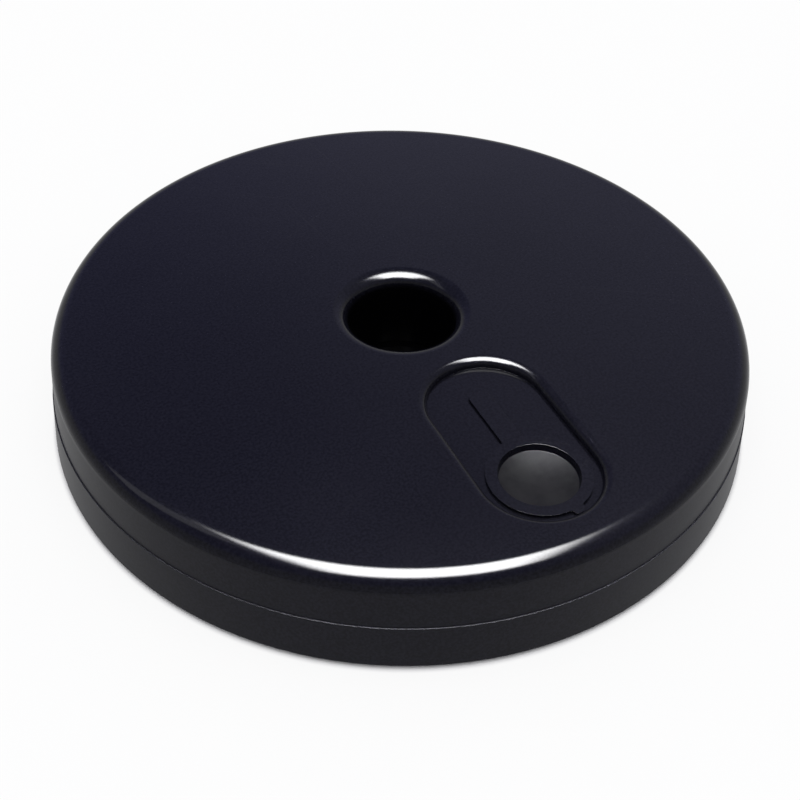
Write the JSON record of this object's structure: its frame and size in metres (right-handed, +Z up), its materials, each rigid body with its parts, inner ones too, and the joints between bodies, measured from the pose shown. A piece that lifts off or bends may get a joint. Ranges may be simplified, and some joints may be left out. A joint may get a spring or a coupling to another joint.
{
  "type": "barrier post base",
  "caption": "Round black ballast base with a central socket for a tubular barrier post and a recessed filler plug with a pull tab.",
  "frame": {"origin": "on the floor, under the middle of the post socket", "axes": "+Z up, out of the socket's mouth; -Y from the socket towards the filler plug, along the length of its recess; +X to the right of someone who stands at the plug's side and faces the socket. The middle of the recess is 6.2 mm to the +X side"},
  "size_m": [0.3298, 0.3298, 0.0493],
  "materials": {
    "shell_plastic": "black polyethylene with a fine moulded grain, satin",
    "plug_plastic": "soft black polyethylene, matte and greyer in the dish",
    "seal_rubber": "matte",
    "foot_rubber": "matte, lightly pebbled",
    "screw_steel": "zinc plated",
    "sand": "dry loose sand"
  },
  "bodies": {
    "base": {"upper_shell": "shell_plastic", "lower_shell": "shell_plastic", "rim_gasket": "seal_rubber", "socket_seal": "seal_rubber", "screw_washers": "seal_rubber", "shell_screws": "screw_steel", "foot_pad_1": "foot_rubber", "foot_pad_2": "foot_rubber", "foot_pad_3": "foot_rubber", "foot_pad_4": "foot_rubber", "foot_pad_5": "foot_rubber", "foot_pad_6": "foot_rubber", "sand_ballast": "sand"},
    "plug": {"filler_plug": "plug_plastic", "plug_washer": "seal_rubber"},
    "tab": {"pull_tab": "plug_plastic"}
  },
  "joints": [
    {"name": "plug_pull", "type": "slide", "parent": "base", "child": "plug", "axis": [0, 0, 1], "range_m": [0, 0.04]},
    {"name": "tab_lift", "type": "hinge", "parent": "plug", "child": "tab", "pos_m": [0.0062, -0.09105, 0.0457], "axis": [1, 0, 0], "range_deg": [0, 80]}
  ]
}
